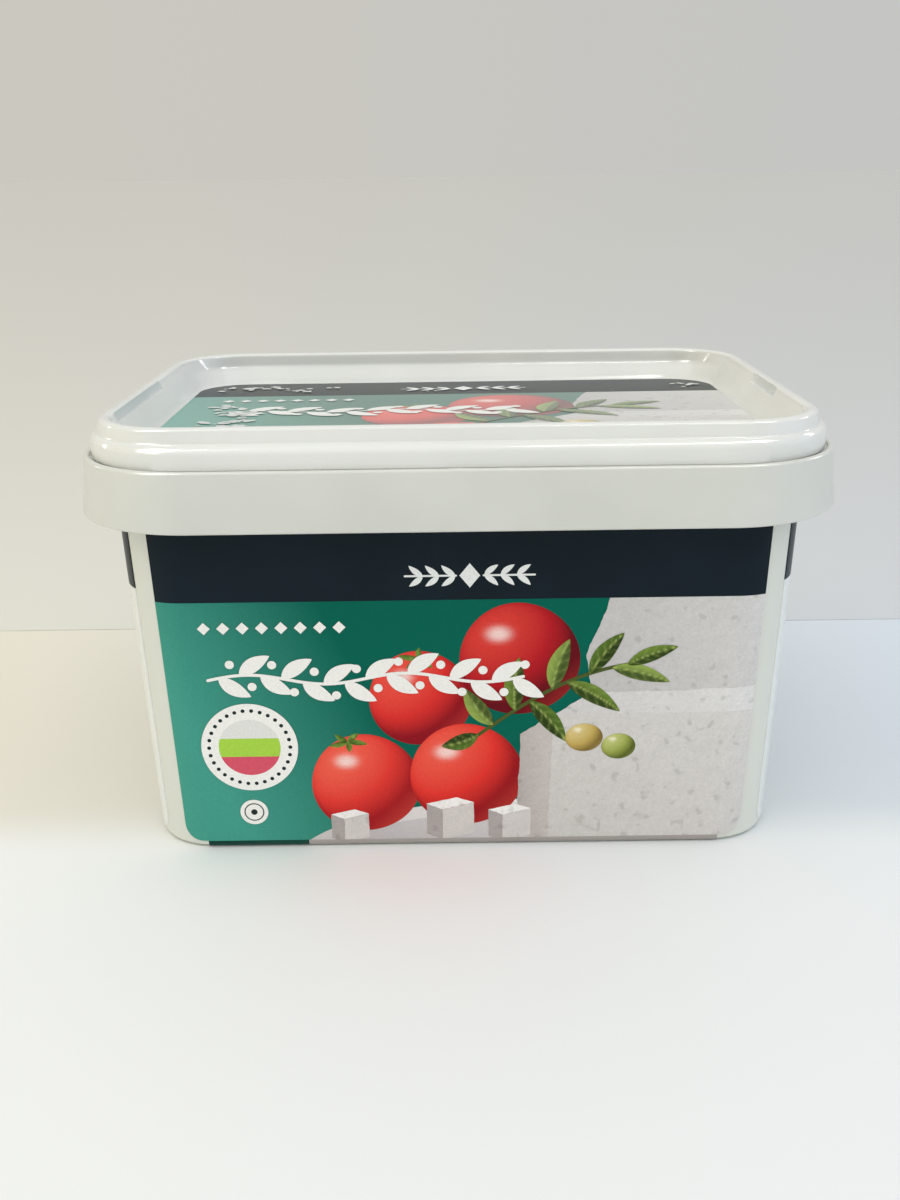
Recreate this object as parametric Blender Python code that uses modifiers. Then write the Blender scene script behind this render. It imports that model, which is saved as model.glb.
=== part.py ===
"""A shut rectangular plastic tub of white cheese in brine, with its press-on lid and printed labels.

Metres, +Z up. The origin is on the surface the tub stands on, under its middle. +X runs along the long
sides and -Y is the front. The tub is full and shut, so it and the lid are solid inside. Every outline is
a rounded rectangle, given by its inset from the collar's outside at the collar's lower edge.
"""

import math

import bmesh
import bpy

# Driving dimensions
COLLAR_WIDTH = 0.182
COLLAR_DEPTH = 0.1356
COLLAR_CORNER = 0.0302
COLLAR_BOTTOM = 0.0857
COLLAR_TOP = 0.0999
HEIGHT = 0.1087
WALL_INSET = 0.0095
WALL_TAPER = 0.0322
WALL_CORNER = 0.0154

# The tub's foot, the collar's skirt and the seat of the lid
FOOT_FILLET = 0.0018
FOOT_RING = 0.005
BASE_RECESS = 0.0008
COLLAR_FLARE = 0.0012
SKIRT_WALL = 0.0013
SKIRT_ROOF = 0.0965
LIP_WALL = 0.0016
SEAT = 0.0992
GAP = 0.0003

# The lid, from its lower wall over the shoulder and the rim down to the sunk panel
LID_WALL_INSET = 0.0031
LID_WALL_TOP = 0.1028
SHOULDER_WIDTH = 0.0025
SHOULDER_RISE = 0.0024
UPPER_WALL_INSET = 0.0056
RIM_INSET = 0.0062
RIM_WIDTH = 0.0029
RIM_RISE = 0.0008
RIM_CORNER = 0.0207
STEEP_WALL = 0.003
PANEL_HEIGHT = 0.0998
PANEL_INSET = 0.0133
PANEL_CORNER = 0.014
PANEL_FILLET = 0.0012
CORNER_STEPS = 10

# The stacking pockets at the top of the lid's short inner walls
POCKET_OUTSIDE = 0.0822
POCKET_WIDTH = 0.004
POCKET_FLOOR = 0.106
POCKET_BACK = 0.010
LEFT_POCKET_LENGTH = 0.050
RIGHT_POCKET_LENGTH = 0.026

# The labels: how far each wraps into the tub's corners, and its lower corners
LABEL_THICKNESS = 0.0002
LABEL_BOTTOM = 0.0020
LABEL_TOP = 0.091
LABEL_CORNER = 0.0042
LONG_LABEL_WRAP = math.radians(25.5)
SHORT_LABEL_WRAP = math.radians(38)
LID_LABEL_MARGIN = 0.0006

WHITE_PLASTIC = (0.80, 0.81, 0.77)
BAND_INK = (0.011, 0.018, 0.023)
TEAL_INK = (0.015, 0.16, 0.12)


def material(name, colour, roughness):
    """A plain finish for one kind of sub-part."""
    finish = bpy.data.materials.new(name)
    finish.use_nodes = True
    shader = finish.node_tree.nodes["Principled BSDF"]
    shader.inputs["Base Color"].default_value = (*colour, 1)
    shader.inputs["Roughness"].default_value = roughness
    shader.inputs["Metallic"].default_value = 0
    finish.diffuse_color = (*colour, 1)
    return finish


def collection(name):
    group = bpy.data.collections.new(name)
    bpy.context.scene.collection.children.link(group)
    return group


def new_object(name, mesh, group, finish):
    thing = bpy.data.objects.new(name, mesh)
    mesh.materials.append(finish)
    group.objects.link(thing)
    return thing


def outline(inset_x, inset_y, corner, height):
    """The corners of one rounded rectangle, anticlockwise from the middle of the right side."""
    half_x = COLLAR_WIDTH / 2 - inset_x
    half_y = COLLAR_DEPTH / 2 - inset_y
    points = []
    for quarter, (side_x, side_y) in enumerate([(1, 1), (-1, 1), (-1, -1), (1, -1)]):
        for step in range(CORNER_STEPS + 1):
            angle = math.radians(90) * (quarter + step / CORNER_STEPS)
            x = side_x * (half_x - corner) + corner * math.cos(angle)
            y = side_y * (half_y - corner) + corner * math.sin(angle)
            points.append((x, y, height))
    return points


def loft(name, sections, group, finish):
    """A closed solid through the outlines, with a flat face on the first and on the last."""
    form = bmesh.new()
    rings = [[form.verts.new(point) for point in outline(*section)] for section in sections]
    count = len(rings[0])
    for lower, upper in zip(rings, rings[1:]):
        for i in range(count):
            j = (i + 1) % count
            form.faces.new((lower[i], lower[j], upper[j], upper[i]))
    form.faces.new(reversed(rings[0]))
    form.faces.new(rings[-1])
    mesh = bpy.data.meshes.new(name)
    form.to_mesh(mesh)
    form.free()
    mesh.shade_smooth()
    mesh.set_sharp_from_angle(angle=math.radians(40))
    return new_object(name, mesh, group, finish)


def arc(centre_inset, centre_height, reach_in, reach_up, start, end, steps):
    """Insets and heights along an arc. Angle 0 points outwards and 90 points up."""
    spots = []
    for step in range(steps + 1):
        angle = math.radians(start + (end - start) * step / steps)
        spots.append((centre_inset - reach_in * math.cos(angle), centre_height + reach_up * math.sin(angle)))
    return spots


def wall_inset(height):
    """The tub's wall leans in towards the floor."""
    return WALL_INSET + WALL_TAPER * (COLLAR_BOTTOM - height)


def closing_corner(inset):
    """The lid's corner follows the collar's at its lower wall and tightens on the way up to the rim."""
    wall_corner = COLLAR_CORNER - LID_WALL_INSET
    climb = (inset - LID_WALL_INSET) / (RIM_INSET - LID_WALL_INSET)
    if climb < 1:
        return wall_corner + climb * (RIM_CORNER - wall_corner)
    return max(RIM_CORNER - (inset - RIM_INSET), PANEL_CORNER)


def make_tub(group, finish):
    """Foot, wall, the skirt that hangs round the wall, and the seat that the lid sits on."""
    floor_inset = wall_inset(FOOT_FILLET)
    ring_inset = floor_inset + FOOT_FILLET + FOOT_RING
    ring_corner = WALL_CORNER - FOOT_RING
    spots = [(ring_inset + BASE_RECESS, BASE_RECESS, ring_corner), (ring_inset, 0, ring_corner)]
    for inset, height in arc(floor_inset + FOOT_FILLET, FOOT_FILLET, FOOT_FILLET, FOOT_FILLET, -90, 0, 4):
        spots.append((inset, height, WALL_CORNER + floor_inset - inset))
    spots.append((wall_inset(SKIRT_ROOF), SKIRT_ROOF, WALL_CORNER))

    skirt_half = SKIRT_WALL / 2
    lip_half = LIP_WALL / 2
    skirt = [(COLLAR_FLARE + SKIRT_WALL, SKIRT_ROOF)]
    skirt += arc(skirt_half, COLLAR_BOTTOM + skirt_half, skirt_half, skirt_half, -180, 0, 6)
    skirt += arc(COLLAR_FLARE + lip_half, COLLAR_TOP - lip_half, lip_half, lip_half, 0, 180, 6)
    skirt.append((COLLAR_FLARE + LIP_WALL, SEAT))
    spots += [(inset, height, COLLAR_CORNER - inset) for inset, height in skirt]
    return loft("tub", [(inset, inset, corner, height) for inset, height, corner in spots], group, finish)


def make_lid(group, finish):
    """Lower wall, round shoulder, upper wall, rim and the sunk panel inside it."""
    rim_height = HEIGHT - RIM_RISE
    spots = [(LID_WALL_INSET + GAP, SEAT + GAP), (LID_WALL_INSET, SEAT + 2 * GAP)]
    shoulder_centre = LID_WALL_INSET + SHOULDER_WIDTH
    spots += arc(shoulder_centre, LID_WALL_TOP, SHOULDER_WIDTH, SHOULDER_RISE, 0, 78, 6)
    spots.append((UPPER_WALL_INSET, LID_WALL_TOP + SHOULDER_RISE + GAP))
    spots += arc(RIM_INSET + RIM_WIDTH / 2, rim_height, RIM_WIDTH / 2, RIM_RISE, 0, 180, 8)
    sections = [(inset, inset, closing_corner(inset), height) for inset, height in spots]

    inner = RIM_INSET + RIM_WIDTH
    steep_share = STEEP_WALL / (rim_height - PANEL_HEIGHT)
    sloped_inset = inner + steep_share * (PANEL_INSET - inner)
    sections.append((sloped_inset, inner, closing_corner(inner), rim_height - STEEP_WALL))
    toe = PANEL_FILLET / 2
    foot = [(PANEL_INSET - toe, PANEL_FILLET), (PANEL_INSET, PANEL_FILLET / 4), (PANEL_INSET + toe, 0)]
    sections += [(inset, inset, PANEL_CORNER, PANEL_HEIGHT + rise) for inset, rise in foot]
    return loft("lid", sections, group, finish)


def cut_pocket(lid, side, length, cutters):
    """A shelf cut into the top of one short inner wall. side is -1 on the left and 1 on the right."""
    depth = HEIGHT - POCKET_FLOOR + GAP
    middle_x = side * (POCKET_OUTSIDE - POCKET_WIDTH / 2)
    middle_y = POCKET_BACK - length / 2
    bpy.ops.mesh.primitive_cube_add(size=1, location=(middle_x, middle_y, POCKET_FLOOR + depth / 2))
    cutter = bpy.context.object
    cutter.name = "pocket_cutter"
    cutter.scale = (POCKET_WIDTH, length, depth)
    cutter.hide_render = True
    cutter.display_type = "WIRE"
    for group in list(cutter.users_collection):
        group.objects.unlink(cutter)
    cutters.objects.link(cutter)
    cut = lid.modifiers.new("pocket", "BOOLEAN")
    cut.operation = "DIFFERENCE"
    cut.object = cutter


def wall_point(turn, along, height, proud):
    """A point in front of the tub's wall. along is the way round from the middle of a side."""
    inset = wall_inset(height) - proud
    half_x = COLLAR_WIDTH / 2 - inset
    half_y = COLLAR_DEPTH / 2 - inset
    if turn % 2:
        half_x, half_y = half_y, half_x
    corner = WALL_CORNER + proud
    straight = half_x - corner
    bend = max(abs(along) - straight, 0) / corner
    x = math.copysign(min(abs(along), straight) + corner * math.sin(bend), along)
    y = -(half_y - corner + corner * math.cos(bend))
    for _ in range(turn):
        x, y = -y, x
    return x, y, height


def label_rows():
    """Heights of a wall label's points: close together over its round lower corners."""
    round_steps = 5
    rows = []
    for step in range(round_steps + 1):
        angle = math.radians(90) * step / round_steps
        rows.append((LABEL_BOTTOM + LABEL_CORNER * (1 - math.cos(angle)), LABEL_CORNER * (1 - math.sin(angle))))
    rows.append((LABEL_TOP, 0))
    return rows


def make_wall_label(name, turn, wrap, group, finish):
    """A thin skin on one side of the tub, wrapped part of the way round its corners."""
    wrap_steps = 4
    half = COLLAR_DEPTH / 2 if turn % 2 else COLLAR_WIDTH / 2
    bent = (WALL_CORNER + GAP) * wrap
    form = bmesh.new()
    grid = []
    for height, short_by in label_rows():
        reach = half - wall_inset(height) - WALL_CORNER + bent
        shares = [1 - bent / reach * (1 - step / wrap_steps) for step in range(wrap_steps + 1)]
        ends = [(reach - short_by) * share for share in shares]
        places = [-end for end in reversed(ends)] + ends
        grid.append([form.verts.new(wall_point(turn, along, height, GAP)) for along in places])
    for lower, upper in zip(grid, grid[1:]):
        for i in range(len(lower) - 1):
            form.faces.new((lower[i], lower[i + 1], upper[i + 1], upper[i]))
    mesh = bpy.data.meshes.new(name)
    form.to_mesh(mesh)
    form.free()
    label = new_object(name, mesh, group, finish)
    skin = label.modifiers.new("skin", "SOLIDIFY")
    skin.thickness = LABEL_THICKNESS
    skin.offset = 1
    return label


def make_lid_label(group, finish):
    """The flat printed plate that fills the lid's sunk panel."""
    inset = PANEL_INSET + LID_LABEL_MARGIN
    corner = PANEL_CORNER - LID_LABEL_MARGIN
    underside = PANEL_HEIGHT + GAP
    heights = (underside, underside + LABEL_THICKNESS)
    return loft("label_lid", [(inset, inset, corner, height) for height in heights], group, finish)


def main():
    for thing in list(bpy.data.objects):
        bpy.data.objects.remove(thing)
    group = collection("cheese_tub")
    cutters = collection("cutters")
    white = material("white_polypropylene", WHITE_PLASTIC, 0.35)
    band = material("band_ink", BAND_INK, 0.3)
    teal = material("teal_ink", TEAL_INK, 0.3)

    make_tub(group, white)
    lid = make_lid(group, white)
    cut_pocket(lid, -1, LEFT_POCKET_LENGTH, cutters)
    cut_pocket(lid, 1, RIGHT_POCKET_LENGTH, cutters)
    make_wall_label("label_front", 0, LONG_LABEL_WRAP, group, teal)
    make_wall_label("label_right", 1, SHORT_LABEL_WRAP, group, band)
    make_wall_label("label_back", 2, LONG_LABEL_WRAP, group, teal)
    make_wall_label("label_left", 3, SHORT_LABEL_WRAP, group, band)
    make_lid_label(group, teal)


main()
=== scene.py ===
"""The dressed model of a shut plastic tub of white cheese: moulded tub and lid, printed labels, floor and light.

Metres, +Z up, -Y is the front. The print's design is in millimetres on the label's own surface.
"""
import math
import random
from dataclasses import dataclass

import bmesh
import bpy
import numpy as np
from mathutils import Matrix, Vector
from mathutils.geometry import delaunay_2d_cdt


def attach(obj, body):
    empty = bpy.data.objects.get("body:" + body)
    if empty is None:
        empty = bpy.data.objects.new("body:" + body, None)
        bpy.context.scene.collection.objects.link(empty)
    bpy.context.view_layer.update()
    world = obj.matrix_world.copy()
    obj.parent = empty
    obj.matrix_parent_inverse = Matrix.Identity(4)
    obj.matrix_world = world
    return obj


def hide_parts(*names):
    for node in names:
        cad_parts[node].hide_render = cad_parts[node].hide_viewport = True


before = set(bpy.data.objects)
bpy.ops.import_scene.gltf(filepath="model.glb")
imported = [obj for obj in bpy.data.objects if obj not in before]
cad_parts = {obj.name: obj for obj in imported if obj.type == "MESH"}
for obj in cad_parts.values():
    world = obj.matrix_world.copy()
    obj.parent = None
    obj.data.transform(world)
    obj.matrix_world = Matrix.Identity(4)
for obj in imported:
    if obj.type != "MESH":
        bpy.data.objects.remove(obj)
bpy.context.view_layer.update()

MM = 0.001

# The tub's and the lid's own sizes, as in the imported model
COLLAR_WIDTH = 0.182
COLLAR_DEPTH = 0.1356
COLLAR_CORNER = 0.0302
COLLAR_BOTTOM = 0.0857
COLLAR_TOP = 0.0999
HEIGHT = 0.1087
WALL_INSET = 0.0095
WALL_TAPER = 0.0322
WALL_CORNER = 0.0154
FOOT_FILLET = 0.0018
FOOT_RING = 0.005
BASE_RECESS = 0.0008
COLLAR_FLARE = 0.0012
SKIRT_WALL = 0.0013
SKIRT_ROOF = 0.0965
LIP_WALL = 0.0016
SEAT = 0.0992
GAP = 0.0003
LID_WALL_INSET = 0.0031
LID_WALL_TOP = 0.1028
SHOULDER_WIDTH = 0.0025
SHOULDER_RISE = 0.0024
UPPER_WALL_INSET = 0.0056
RIM_INSET = 0.0062
RIM_WIDTH = 0.0029
RIM_RISE = 0.0008
RIM_CORNER = 0.0207
STEEP_WALL = 0.003
PANEL_HEIGHT = 0.0998
PANEL_INSET = 0.0133
PANEL_CORNER = 0.014
PANEL_FILLET = 0.0012
POCKET_OUTSIDE = 0.0822
POCKET_WIDTH = 0.004
POCKET_FLOOR = 0.106
POCKET_BACK = 0.010
POCKET_CORNER = 0.0012
POCKET_LENGTHS = ((-1, 0.050), (1, 0.026))
LABEL_BOTTOM = 0.0020
LABEL_TOP = 0.091
LABEL_CORNER = 0.0042
LONG_LABEL_WRAP = math.radians(25.5)
SHORT_LABEL_WRAP = math.radians(38)
LID_LABEL_MARGIN = 0.0006

# How finely the moulded parts are drawn, and the angle from which an edge looks sharp
CORNER_STEPS = 24
LONG_SIDE_STEPS = 60
SHORT_SIDE_STEPS = 40
LIP_STEPS = 10
SHARP_ANGLE = math.radians(35)

# The film's face in front of the moulding and its depth, in metres
FILM_FACE = 0.0002
FILM_DEPTH = 0.00019
FILM_LEVELS = (FILM_FACE, FILM_FACE - FILM_DEPTH)

# The print, in millimetres. It starts a few layers clear of the film, and ORNAMENTS and SCUFFS are layers
BAND_BOTTOM = 66.5
SIDE_BAND_BOTTOM = 68.5
LONG_HALF = 72.0
LID_HALF_X = (COLLAR_WIDTH / 2 - PANEL_INSET - LID_LABEL_MARGIN) / MM
LID_HALF_Y = (COLLAR_DEPTH / 2 - PANEL_INSET - LID_LABEL_MARGIN) / MM
LID_BAND_BOTTOM = 31.0
LAYER = 0.006
CLEAR_LAYERS = 5
ORNAMENTS = 26
SCUFFS = 31
# the pale grey-green that the lid's print colours are paled toward
LID_PALING_TINT = "#e4ecea"

# The wall behind starts at this depth, and the gloss's windows stand round this spot
BACKDROP_START = 0.107
WINDOW_DISTANCE = 0.6
WINDOW_TARGET = (0, 0, 0.1)

# The camera, fitted to the photo
CAMERA_PLACE = (-0.00182, -0.33497, 0.16153)
CAMERA_PITCH = 0.3305
CAMERA_YAW = 0.0021
CAMERA_ROLL = 0.0142
CAMERA_LENS = 37.35


# Colours and nodes

def linear(colour):
    """An sRGB hex colour as linear RGB."""
    channels = [int(colour[i:i + 2], 16) / 255 for i in (1, 3, 5)]
    return tuple(c / 12.92 if c <= 0.04045 else ((c + 0.055) / 1.055) ** 2.4 for c in channels)


def rgba(colour):
    return (*linear(colour), 1)


def add(mat, kind, inputs=None, **settings):
    """One shader node in a material, with its inputs as values or as outputs to link, and its settings."""
    tree = mat.node_tree
    node = tree.nodes.new("ShaderNode" + kind)
    for name, value in settings.items():
        setattr(node, name, value)
    for name, value in (inputs or {}).items():
        if isinstance(value, bpy.types.NodeSocket):
            tree.links.new(value, node.inputs[name])
        else:
            node.inputs[name].default_value = value
    return node


def link(output, node, socket):
    node.id_data.links.new(output, node.inputs[socket])


def object_place(mat):
    return add(mat, "TexCoord").outputs["Object"]


def noise(mat, place, size, detail=2.0, roughness=0.5):
    """Cloudy noise with lumps of a size in millimetres."""
    return add(mat, "TexNoise", {
        "Vector": place, "Scale": 1 / (size * MM), "Detail": detail, "Roughness": roughness}).outputs["Fac"]


def map_range(mat, value, low, high, to_low=0.0, to_high=1.0, smooth=False):
    """A value between low and high as a number between two others."""
    inputs = {"Value": value, "From Min": low, "From Max": high, "To Min": to_low, "To Max": to_high}
    kind = "SMOOTHSTEP" if smooth else "LINEAR"
    return add(mat, "MapRange", inputs, interpolation_type=kind).outputs["Result"]


def calculate(mat, operation, *values):
    return add(mat, "Math", dict(enumerate(values)), operation=operation).outputs["Value"]


def scale(mat, vector, factor):
    return add(mat, "VectorMath", {0: vector, "Scale": factor}, operation="SCALE").outputs["Vector"]


def mix_colours(mat, share, first, second):
    """A colour between two, each a hex colour or an output. The node's colours are its sockets 6, 7 and 2."""
    first, second = [rgba(end) if isinstance(end, str) else end for end in (first, second)]
    return add(mat, "Mix", {0: share, 6: first, 7: second}, data_type="RGBA").outputs[2]


def new_material(name, colour, **shader_values):
    """A material with its shader's own constant values set."""
    mat = bpy.data.materials.new(name)
    mat.use_nodes = True
    shader = mat.node_tree.nodes["Principled BSDF"]
    shader.inputs["Base Color"].default_value = rgba(colour)
    mat.diffuse_color = rgba(colour)
    for socket, value in shader_values.items():
        shader.inputs[socket.replace("_", " ")].default_value = value
    return mat, shader


def cloudy_colour(mat, place, size, first, second, low, high, detail=2.0):
    """Soft patches between two colours, of a size in millimetres."""
    ramp = add(mat, "ValToRGB", {"Fac": noise(mat, place, size, detail)})
    for end, position, colour in zip(ramp.color_ramp.elements, (low, high), (first, second)):
        end.position = position
        end.color = rgba(colour)
    return ramp.outputs["Color"]


def relief(mat, shader, place, steps):
    """Bumps laid over each other: each step is a size in mm, a height in mm and a strength."""
    values = {}
    for size, height, strength in steps:
        values.update({"Height": noise(mat, place, size), "Distance": height * MM, "Strength": strength})
        values["Normal"] = add(mat, "Bump", values).outputs["Normal"]
    link(values["Normal"], shader, "Normal")


def make_polypropylene(name, light, shade, roughness, filled=None):
    """White polypropylene, injection moulded in a polished tool: milky, glossy, with a faint orange peel
    of about 1.5 mm and soft sink marks of about 20 mm that make long highlights waver. filled is a height
    and a colour: below it the wall is painted lighter than the hollow collar, partly for the white cheese
    behind it and partly as painted light, standing in for the light that the floor bounces up under the collar."""
    mat, shader = new_material(
        name, light, Roughness=roughness, IOR=1.49, Metallic=0.0,
        Subsurface_Weight=0.15, Subsurface_Scale=0.001, Subsurface_Radius=(1.0, 0.95, 0.85))
    place = object_place(mat)
    colour = cloudy_colour(mat, place, 28, shade, light, 0.35, 0.65)
    # painted light in part: the wall below the level is painted lighter, standing in for light bounced up from the
    # floor as well as for the cheese behind it
    if filled:
        level, full = filled
        height = add(mat, "SeparateXYZ", {"Vector": place}).outputs["Z"]
        colour = mix_colours(mat, map_range(mat, height, level, level - 0.002), colour, full)
    link(colour, shader, "Base Color")
    relief(mat, shader, place, [(20, 0.25, 0.35), (1.5, 0.015, 0.25)])
    return mat


def new_ink(name, colour, roughness, gloss):
    """An ink under the label's clear film, with the film's satin gloss and the wall's orange peel under it."""
    mat, shader = new_material(
        name, colour, Roughness=roughness, IOR=1.5, Metallic=0.0, Specular_IOR_Level=gloss)
    place = object_place(mat)
    relief(mat, shader, place, [(22, 0.15, 0.25), (1.2, 0.008, 0.2)])
    return mat, shader, place


def make_plain_ink(name, colour, other, roughness=0.3, gloss=0.1):
    """Offset ink on an in-mould label: one colour with faint cloudy patches of about 18 mm."""
    mat, shader, place = new_ink(name, colour, roughness, gloss)
    link(cloudy_colour(mat, place, 18, other, colour, 0.3, 0.7, 4), shader, "Base Color")
    return mat


def make_picture_ink(name, crumb=0.0, roughness=0.3, gloss=0.1):
    """A picture printed in process inks. Its colours lie on the mesh, and fine grain of about 0.5 mm, drawn
    as coarse as it needs to show, breaks them up. crumb adds the printed lumps of crumbly cheese, about
    3 mm across, as light and shade, and sparse small pits."""
    mat, shader, place = new_ink(name, "#b0a8a0", roughness, gloss)
    ink = add(mat, "VertexColor", layer_name="ink").outputs["Color"]
    shaded = scale(mat, ink, map_range(mat, noise(mat, place, 0.5), 0.3, 0.7, 0.95, 1.05))
    if crumb:
        lit_from = add(mat, "VectorMath", {
            0: place, 1: (0.0003, 0.0004, -0.0005)}, operation="ADD").outputs["Vector"]
        for size, depth in ((4.5, crumb), (1.3, crumb * 0.5)):
            slope = calculate(mat, "SUBTRACT", *[noise(mat, at, size, 3.0, 0.55) for at in (place, lit_from)])
            shaded = scale(mat, shaded, map_range(mat, slope, -0.12, 0.12, 1 - depth, 1 + depth))
        pits = noise(mat, place, 2.6, 1.0, 0.4)
        shaded = scale(mat, shaded, map_range(mat, pits, 0.64, 0.72, 1.0, 0.82))
    link(shaded, shader, "Base Color")
    return mat


def make_board_with_painted_light(name, colours, near, half_width, far=None, spread=0.0):
    """A flat matt surface with painted light on it: painted warm window light on the left and cool on the
    right, and darker far colours as painted shade. colours are left and right, near and then far. The tints
    change from near to far, or else fan out with the distance, by spread metres for a metre."""
    mat, shader = new_material(name, colours[0], Roughness=0.6, IOR=1.45, Metallic=0.0)
    place = add(mat, "SeparateXYZ", {"Vector": object_place(mat)}).outputs
    away = calculate(mat, "SUBTRACT", place["Y"], near)
    width = calculate(mat, "MULTIPLY_ADD", away, spread, half_width)
    side = map_range(mat, calculate(mat, "DIVIDE", place["X"], width), -1.0, 1.0, smooth=True)
    if spread:
        share = calculate(mat, "SUBTRACT", 1.0, calculate(mat, "DIVIDE", half_width, width))
    else:
        share = map_range(mat, place["Y"], near, far, smooth=True)
    ends = [mix_colours(mat, side, *pair) for pair in (colours[:2], colours[2:])]
    link(mix_colours(mat, share, *ends), shader, "Base Color")
    return mat


# the tub's last colour paints the wall below the collar lighter: partly painted light from the floor, partly the
# cheese behind it
tub_white = make_polypropylene("white_polypropylene_tub", "#d3d5cf", "#ced0c9", 0.24, (COLLAR_BOTTOM, "#d6d9d0"))
lid_white = make_polypropylene("white_polypropylene_lid", "#e2e4e0", "#dddfdb", 0.12)
# the pocket's faces: rougher, and painted a little darker than the lid as painted shade in the recess
pocket_painted_shade = make_polypropylene("frosted_polypropylene_pocket", "#dcdfdd", "#d3d7d5", 0.35)
band_ink = make_plain_ink("charcoal_ink_under_film", "#122029", "#0f1c24")
teal_ink = make_plain_ink("teal_ink_under_film", "#0d6a57", "#0a5e4d")
pale_ink = make_plain_ink("pale_ink_under_film", "#e3e6e3", "#dfe2df", 0.24, 0.5)
picture_ink = make_picture_ink("process_ink_picture_under_film", gloss=0.06)
cheese_ink = make_picture_ink("process_ink_cheese_under_film", crumb=0.035)
# the hem's inks are the teal and the pale print painted dark, as painted shade under the foot
hem_teal_painted_shade = make_plain_ink("dark_teal_ink_under_film", "#14463c", "#103a32")
hem_pale_painted_shade = make_plain_ink("warm_grey_ink_under_film", "#a9a39f", "#a09a96")
# the lid's inks: paler than the wall's, their colours lightened toward grey-green
lid_band_ink = make_plain_ink("charcoal_ink_under_hazy_film", "#1b2a2d", "#152326", 0.36, 0.36)
lid_teal_ink = make_plain_ink("teal_ink_under_hazy_film", "#4f8d7e", "#477f71", 0.36, 0.6)
lid_picture_ink = make_picture_ink("process_ink_picture_under_hazy_film", 0.0, 0.36, 0.6)
lid_cheese_ink = make_picture_ink("process_ink_cheese_under_hazy_film", 0.035, 0.36, 0.6)
torn_film = make_plain_ink("torn_white_film", "#dde0dd", "#cbd0cd", 0.5)
# the floor: painted shadow round and beside the tub from a little before its front onwards, warm on the left and cool
# on the right as painted light
floor_painted_shadow = make_board_with_painted_light(
    "matt_white_laminate", ("#eff0ed", "#e6ebef", "#e5e0d0", "#d3dde8"), -0.060, 0.22, far=-0.032)
# the flat backdrop for the wall: darker with distance as painted shade high on the wall, warm on the left and cool on
# the right as painted light
wall_painted_shade = make_board_with_painted_light(
    "matt_grey_paint", ("#deddd3", "#ccd1d6", "#c4c2ba", "#bdbebc"), BACKDROP_START, 0.18, spread=0.4)


# Moulded parts

def round_box(half_x, half_y, corner, steps):
    """The points of its four round corners, anticlockwise from the right side."""
    points = []
    for quarter, (side_x, side_y) in enumerate([(1, 1), (-1, 1), (-1, -1), (1, -1)]):
        for step in range(steps + 1):
            angle = math.radians(90) * (quarter + step / steps)
            points.append((side_x * (half_x - corner) + corner * math.cos(angle),
                           side_y * (half_y - corner) + corner * math.sin(angle)))
    return points


def outline(inset, corner, height):
    """One ring of a moulding, a rounded rectangle this far inside the collar, its straight sides divided."""
    bends = round_box(COLLAR_WIDTH / 2 - inset, COLLAR_DEPTH / 2 - inset, corner, CORNER_STEPS)
    lap = CORNER_STEPS + 1
    points = []
    for quarter, steps in enumerate((LONG_SIDE_STEPS, SHORT_SIDE_STEPS) * 2):
        points += bends[quarter * lap:(quarter + 1) * lap]
        (ax, ay), (bx, by) = points[-1], bends[(quarter + 1) % 4 * lap]
        points += [(ax + step / steps * (bx - ax), ay + step / steps * (by - ay)) for step in range(1, steps)]
    return [(x, y, height) for x, y in points]


def arc(centre_inset, centre_height, reach_in, reach_up, start, end, steps):
    """Insets and heights along an arc. Angle 0 points outwards and 90 points up."""
    angles = [math.radians(start + (end - start) * step / steps) for step in range(steps + 1)]
    return [(centre_inset - reach_in * math.cos(a), centre_height + reach_up * math.sin(a)) for a in angles]


def wall_inset(height):
    return WALL_INSET + WALL_TAPER * (COLLAR_BOTTOM - height)


def closing_corner(inset):
    """The lid's corner follows the collar's at its lower wall and tightens on the way up to the rim."""
    wall_corner = COLLAR_CORNER - LID_WALL_INSET
    climb = (inset - LID_WALL_INSET) / (RIM_INSET - LID_WALL_INSET)
    if climb < 1:
        return wall_corner + climb * (RIM_CORNER - wall_corner)
    return max(RIM_CORNER - (inset - RIM_INSET), PANEL_CORNER)


def add_object(name, data):
    thing = bpy.data.objects.new(name, data)
    bpy.context.scene.collection.objects.link(thing)
    return thing


def dress(name, mesh, materials, node=None):
    """The mesh as a smooth-shaded piece on the root body, in place of a node if one is named."""
    for mat in materials:
        mesh.materials.append(mat)
    mesh.shade_smooth()
    piece = add_object(name, mesh)
    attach(piece, "root")
    if node:
        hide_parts(node)
    return piece


def finish_piece(name, form, materials, node=None):
    """The form as a dressed piece with its sharp edges kept."""
    mesh = bpy.data.meshes.new(name)
    form.to_mesh(mesh)
    form.free()
    piece = dress(name, mesh, materials, node)
    mesh.set_sharp_from_angle(angle=SHARP_ANGLE)
    return piece


def smooth_ramp(share, start):
    """Zero up to a start, then a straight rise to one, with the bend between them rounded off."""
    soft = 0.08
    over = share - start
    if over < -soft:
        return 0.0
    if over < soft:
        return (over + soft) ** 2 / (4 * soft) / (1 - start)
    return over / (1 - start)


def blend_rings(long_ring, short_ring):
    """One ring that follows the first along the long sides and the second along the short ones, with a soft
    step round each corner."""
    rise = [t * t * (3 - 2 * t) for t in (step / CORNER_STEPS for step in range(CORNER_STEPS + 1))]
    fall = [1 - share for share in rise]
    shares = (rise + [1.0] * (LONG_SIDE_STEPS - 1) + fall + [0.0] * (SHORT_SIDE_STEPS - 1)) * 2
    return [(ax * share + bx * (1 - share), ay * share + by * (1 - share), z)
            for share, (ax, ay, z), (bx, by, _) in zip(shares, long_ring, short_ring)]


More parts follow.
